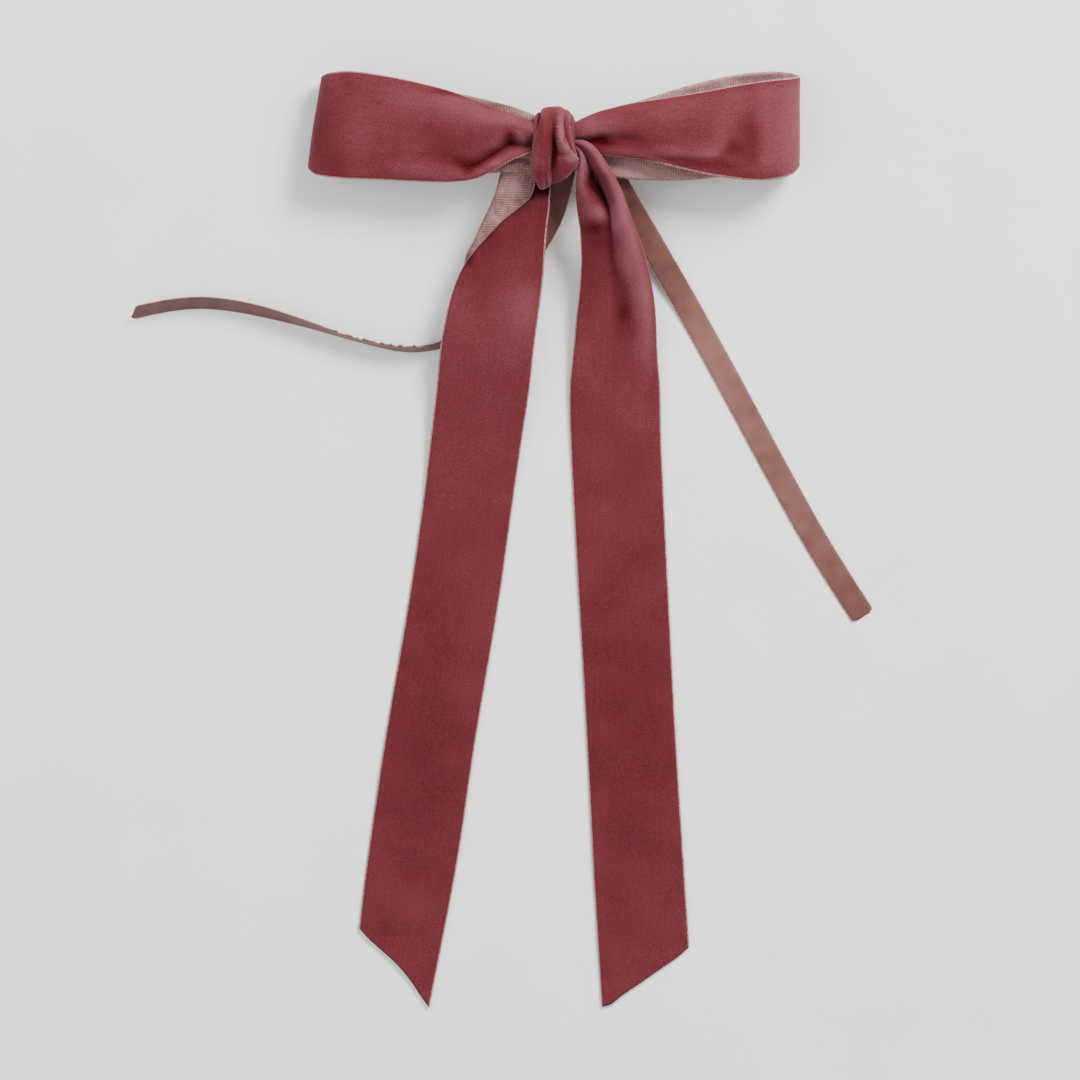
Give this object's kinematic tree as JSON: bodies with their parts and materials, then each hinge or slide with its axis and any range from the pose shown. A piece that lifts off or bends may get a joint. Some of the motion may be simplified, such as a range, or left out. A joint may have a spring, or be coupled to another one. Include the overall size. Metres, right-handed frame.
{
  "type": "hair barrette",
  "caption": "Hand-tied velvet ribbon bow with long slant-cut tails and narrow satin tie ends, on a sprung metal clip that grips a lock of hair.",
  "frame": {"origin": "middle of the clasp arm's underside, on the surface the part lies on", "axes": "+X to the bow's right seen from the front, +Y to its top (the tails run toward -Y), +Z out of its front"},
  "size_m": [0.2056, 0.2606, 0.0233],
  "materials": {
    "velvet": "short-pile velvet with a ribbed satin back",
    "satin": "soft satin",
    "clip_metal": "nickel-plated steel",
    "spring_steel": "plain spring steel"
  },
  "bodies": {
    "bow": {"clip_base_plate": "clip_metal", "hinge_pin": "clip_metal", "clip_rivets": "clip_metal", "tension_bar": "spring_steel", "catch_bridge": "spring_steel", "tie_band": "satin", "left_tie": "satin", "right_tie": "satin", "knot": "velvet", "left_loop": "velvet", "right_loop": "velvet", "left_tail": "velvet", "right_tail": "velvet"},
    "clasp_arm": {"clasp_arm": "clip_metal"},
    "catch_prong_upper": {"catch_prong_upper": "spring_steel"},
    "catch_prong_lower": {"catch_prong_lower": "spring_steel"}
  },
  "joints": [
    {"name": "arm_hinge", "type": "hinge", "parent": "bow", "child": "clasp_arm", "pos_m": [-0.028, 0, 0.0025], "axis": [0, 1, 0], "range_deg": [0, 75]},
    {"name": "catch_squeeze_upper", "type": "hinge", "parent": "bow", "child": "catch_prong_upper", "pos_m": [0.027, 0.002, 0.0055], "axis": [-1, 0, 0], "range_deg": [0, 6], "stiffness_Nm_per_rad": 0.01},
    {"name": "catch_squeeze_lower", "type": "hinge", "parent": "bow", "child": "catch_prong_lower", "pos_m": [0.027, -0.002, 0.0055], "axis": [1, 0, 0], "range_deg": [0, 6], "stiffness_Nm_per_rad": 0.01}
  ]
}
